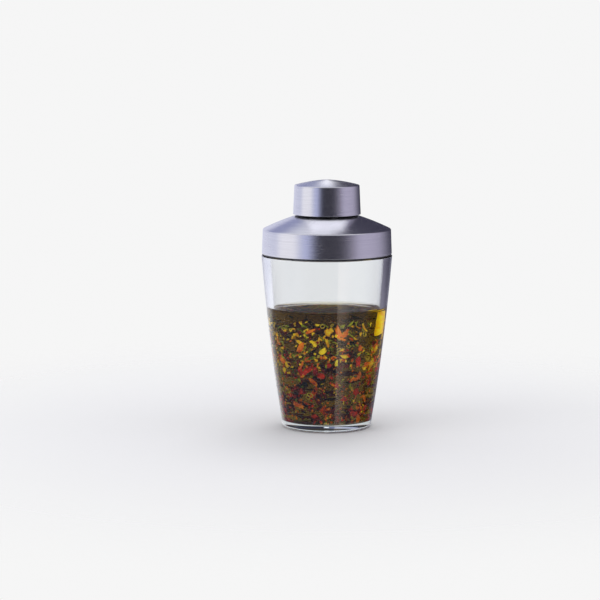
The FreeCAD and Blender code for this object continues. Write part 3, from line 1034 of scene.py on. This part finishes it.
# Sides and table, for mirrored light
SIDES_TURN = (166, 94)
LEFT_TO_RIGHT = (-0.3, 0.3)
LEFT_GLOSS = (0.62, 0.64, 0.81, 1)
RIGHT_GLOSS = (0.48, 0.445, 0.58, 1)
LEFT_BOX_GLOSS = (0.98, 0.97, 1.02, 1)
LEFT_BOX_OUTER = (106, 86)
LEFT_BOX_INNER = (44, 62)
TABLE_LEFT_GLOSS = (1.06, 1.06, 1.11, 1)
TABLE_RIGHT_GLOSS = (0.26, 0.25, 0.32, 1)
TABLE_TOP = (-0.09, -0.18)
TABLE_TURN = (80, 100)

# Back, for mirrored light
BACK_LOW_GLOSS = (0.72, 0.73, 0.88, 1)
BACK_LEFT_GLOSS = (0.30, 0.32, 0.52, 1)
BACK_LEFT_FOOT = (0.10, 0.24)
BACK_LEFT_RISE = 0.20       # how much higher that foot is far to the left
BACK_FAR_LEFT = (-0.10, -0.16)
BACK_RIGHT_GLOSS = (0.04, 0.037, 0.065, 1)
BACK_RIGHT_EDGE = (-0.12, 0.07)
BACK_RIGHT_LEAN = 0.15      # how far that edge leans to the right, high up
BACK_LEAN_FOOT = (0.45, 0.7)
BACK_BOX_GLOSS = (0.84, 0.85, 0.92, 1)
BACK_BOX_FOOT = (0.60, 0.77)
LAMP_STRIP_GLOSS = (1.50, 1.50, 1.58, 1)
LAMP_STRIP_LEFT = (-0.048, -0.024)
LAMP_STRIP_RIGHT = (0.050, 0.028)
LAMP_STRIP_FOOT = (0.2, 0.3)
LAMP_STRIP_TOP = (0.6, 0.5)

# Front and top, for mirrored light
FRONT_GLOSS = (0.020, 0.018, 0.032, 1)
FRONT_TURN_LEFT = (37, 8)
FRONT_TURN_RIGHT = (66, 6)
FRONT_LEFT_GLOSS = (0.52, 0.55, 0.80, 1)
FRONT_LEFT_TURN = (50, 36)
FRONT_MID_GLOSS = (0.34, 0.34, 0.40, 1)
FRONT_MID_TURN = (105, 60)
FRONT_MID_FOOT = (0.25, 0.60)
FRONT_HIGH_GLOSS = (0.92, 0.92, 0.97, 1)
FRONT_TWICE_GLOSS = (1.85, 1.85, 1.90, 1)
FRONT_HIGH_TURN = (118, 80)
FRONT_HIGH_FOOT = (0.58, 0.70)
TOP_GLOSS = (0.46, 0.46, 0.52, 1)
TOP_FOOT = (0.90, 0.98)

# Low part, for light that a clear piece mirrors
LEFT_LOW_GLOSS = (0.22, 0.23, 0.30, 1)
RIGHT_LOW_GLOSS = (0.10, 0.08, 0.05, 1)
FLANKS_TURN = (150, 125)
FLANKS_TOP = (-0.20, -0.23)
FRONT_LOW_GLOSS = (0.27, 0.33, 0.43, 1)
FRONT_LOW_TURN = (104, 70)
FRONT_LOW_TOP = (-0.12, -0.2)
UPRIGHT_BOX_GLOSS = (1.85, 1.60, 1.45, 1)
UPRIGHT_BOX_INNER = (19, 22)
UPRIGHT_BOX_OUTER = (52, 24)

# Just above level, for light that the still liquid mirrors
STILL_GLOSS = (0.055, 0.045, 0.030, 1)
STILL_FOOT = (0.08, 0.11)
STILL_TOP = (0.24, 0.18)


class Way:
    """The way that light leaves the scene: its height, its side and its turn from the front."""

    def __init__(self, f):
        x, y, self.height = f.axes(f.add("TexCoord", out="Generated"))
        level = off_axis(x, y)
        self.side = x / level
        self.front = y / level * -1.0
        self.left = self.side.step(*LEFT_HALF)

    def facing(self, outer, inner):
        """1 within inner degrees of the front and 0 beyond outer, or the reverse where inner is larger."""
        return self.front.step(math.cos(math.radians(outer)), math.cos(math.radians(inner)))


def studio_back(f, way):
    """The studio's back: pale low down, lavender at the left and dark at the right, with a wide box high up
    and a narrow strip of lamps between the two."""
    z, side = way.height, way.side
    left = (z - side.step(*BACK_FAR_LEFT) * BACK_LEFT_RISE).step(*BACK_LEFT_FOOT)
    back = f.mix(left, BACK_LOW_GLOSS, BACK_LEFT_GLOSS)
    back = f.mix(z.step(*BACK_BOX_FOOT), back, BACK_BOX_GLOSS)
    right = (side - z.step(*BACK_LEAN_FOOT) * BACK_RIGHT_LEAN).step(*BACK_RIGHT_EDGE)
    back = f.mix(right, back, BACK_RIGHT_GLOSS)
    strip = side.step(*LAMP_STRIP_LEFT) * side.step(*LAMP_STRIP_RIGHT)
    return f.mix(strip * z.step(*LAMP_STRIP_FOOT) * z.step(*LAMP_STRIP_TOP), back, LAMP_STRIP_GLOSS)


def steel_studio(f, way, times):
    """The studio that the steel mirrors as bands: a pale left with a bright box, a lavender right, the
    back, a table, a dark front, and over the front a high box, brighter for what was mirrored twice."""
    z, side, left, facing = way.height, way.side, way.left, way.facing
    sides = f.mix(side.step(*LEFT_TO_RIGHT), LEFT_GLOSS, RIGHT_GLOSS)
    left_box = facing(*LEFT_BOX_OUTER) * facing(*LEFT_BOX_INNER) * left
    sides = f.mix(left_box, sides, LEFT_BOX_GLOSS)
    around = f.mix(facing(*SIDES_TURN), studio_back(f, way), sides)
    table = f.mix(side.step(*LEFT_TO_RIGHT), TABLE_LEFT_GLOSS, TABLE_RIGHT_GLOSS)
    around = f.mix(z.step(*TABLE_TOP) * facing(*TABLE_TURN), around, table)
    around = f.mix(facing(*FRONT_LEFT_TURN) * left, around, FRONT_LEFT_GLOSS)
    front = facing(*FRONT_TURN_LEFT) * left + facing(*FRONT_TURN_RIGHT) * (1.0 - left)
    around = f.mix(front, around, FRONT_GLOSS)
    around = f.mix(z.step(*FRONT_MID_FOOT) * facing(*FRONT_MID_TURN), around, FRONT_MID_GLOSS)
    high = f.mix(times.step(*TWICE_MIRRORED), FRONT_HIGH_GLOSS, FRONT_TWICE_GLOSS)
    around = f.mix(z.step(*FRONT_HIGH_FOOT) * facing(*FRONT_HIGH_TURN), around, high)
    return f.mix(z.step(*TOP_FOOT), around, TOP_GLOSS)


def wall_studio(f, way, gloss, sharp, through):
    """The steel's studio with the low part that only the clear pieces mirror, because nothing else mirrors
    sharply: dim flanks, a cool front and an upright box in its right half."""
    z, left, facing = way.height, way.left, way.facing
    outside = 1.0 - through
    flanks = f.mix(left, RIGHT_LOW_GLOSS, LEFT_LOW_GLOSS)
    gloss = f.mix(facing(*FLANKS_TURN) * z.step(*FLANKS_TOP) * sharp * outside, gloss, flanks)
    below = z.step(*FRONT_LOW_TOP) * sharp
    gloss = f.mix(below * facing(*FRONT_LOW_TURN), gloss, FRONT_LOW_GLOSS)
    box = facing(*UPRIGHT_BOX_INNER) * facing(*UPRIGHT_BOX_OUTER) * (1.0 - left)
    return f.mix(below * box * outside, gloss, UPRIGHT_BOX_GLOSS)


def studio_world():
    """Light that the camera sees, straight or through the clear pieces, meets a pale backdrop. Mirrored
    light meets the studio, and so does light that goes on through a clear piece after it was mirrored,
    apart from a part just above level that keeps the still liquid dark. The rest is even soft light."""
    f = Finish(bpy.data.worlds.new("studio"))
    scene.world = f.owner
    way = Way(f)
    z = way.height
    rays = f.add("LightPath", out="Is Camera Ray")
    through = rays.also("Is Transmission Ray")
    times = rays.also("Glossy Depth")
    mirrored = times.step(*ONCE_MIRRORED)
    gloss = wall_studio(f, way, steel_studio(f, way, times), rays.also("Is Singular Ray"), through)
    light = f.mix(way.facing(*EVEN_FRONT_TURN) * z.step(*EVEN_FRONT_TOP), EVEN_LIGHT, EVEN_FRONT)
    light = f.mix(rays.also("Is Glossy Ray"), light, gloss)
    still = f.mix(z.step(*STILL_FOOT) * z.step(*STILL_TOP), gloss, STILL_GLOSS)
    light = f.mix(through * mirrored, light, still)
    seen = rays.over(through * (1.0 - mirrored))
    sky = f.mix(seen, light, (PALE, PALE, PALE, 1))
    return finished(f, f.add("Background", None, {"Color": sky, "Strength": 1.0}))


FLOOR_REACH = 0.5       # metres, as are the next two
FLOOR_DROP = 0.0002
FLOOR_FADE = (0.09, 0.44)
FLOOR_SIDES = 96
FLOOR_COLOUR = (0.88, 0.88, 0.89, 1)


def floor():
    """Pale floor: a wide disc whose material fades out to the backdrop. Light that a clear piece mirrors
    sharply goes through it, down to the studio's low part."""
    t = np.linspace(0, TURN, FLOOR_SIDES, endpoint=False)
    rim = np.stack([FLOOR_REACH * np.cos(t), FLOOR_REACH * np.sin(t), 0 * t - FLOOR_DROP], axis=1)
    mesh = bpy.data.meshes.new("floor")
    mesh.from_pydata(rim.tolist(), [], [list(range(FLOOR_SIDES))])
    f = new_finish("floor")
    x, y, _ = f.axes(f.place())
    sharp = f.add("LightPath", out="Is Singular Ray")
    mirrored = sharp * (1.0 - sharp.also("Is Transmission Ray"))
    fade = off_axis(x, y).step(*FLOOR_FADE).over(mirrored)
    paint = f.add("BsdfDiffuse", None, {"Color": FLOOR_COLOUR})
    nothing = f.add("BsdfTransparent")
    mesh.materials.append(finished(f, f.add("MixShader", None, {0: fade, 1: paint, 2: nothing})))
    made = bpy.data.objects.new("floor", mesh)
    scene.collection.objects.link(made)


LAMP_POWER = 4.0        # watts a square metre at a glow of 1
MIDDLE = Vector((0.0, 0.0, 0.09))   # where the lamps point, in metres


def softbox(name, azimuth, elevation, distance, width, height, glow, colour):
    """Rectangular lamp that faces the shaker, for soft shading alone: gloss sees the studio's own boxes.
    Azimuth runs from the front to the right."""
    a, e = math.radians(azimuth), math.radians(elevation)
    lamp = bpy.data.lights.new(name, "AREA")
    lamp.shape = "RECTANGLE"
    lamp.size, lamp.size_y = width, height
    lamp.energy = LAMP_POWER * width * height * glow
    lamp.color = colour
    box = bpy.data.objects.new(name, lamp)
    scene.collection.objects.link(box)
    out = Vector((math.sin(a) * math.cos(e), -math.cos(a) * math.cos(e), math.sin(e)))
    faced = out.to_track_quat("Z", "Y").to_matrix().to_4x4()
    box.matrix_world = Matrix.Translation(MIDDLE + out * distance) @ faced
    box.visible_camera = False
    box.visible_glossy = False
    box.visible_transmission = False


studio_world()
floor()
softbox("left_softbox", azimuth=-62, elevation=12, distance=1.3, width=0.95, height=1.3, glow=1.15,
        colour=(0.97, 0.98, 1.0))
softbox("top_softbox", azimuth=170, elevation=62, distance=1.2, width=0.62, height=0.6, glow=2.0,
        colour=(1.0, 1.0, 1.0))
softbox("right_fill", azimuth=80, elevation=25, distance=1.6, width=1.0, height=1.0, glow=0.3,
        colour=(0.92, 0.90, 1.0))

# Camera, in metres and degrees
SENSOR = 36.0           # millimetres, as is the lens
LENS = 130.5
CAMERA_AT = (0.0, -1.5, 0.28)
CAMERA_DIP = 7.28       # below level
CAMERA_TURN = 0.711     # to the left

camera = bpy.data.objects.new("camera", bpy.data.cameras.new("camera"))
scene.collection.objects.link(camera)
camera.data.sensor_width = SENSOR
camera.data.lens = LENS
camera.location = CAMERA_AT
camera.rotation_euler = (math.radians(90 - CAMERA_DIP), 0.0, math.radians(CAMERA_TURN))
scene.camera = camera
scene.view_settings.view_transform = "Standard"
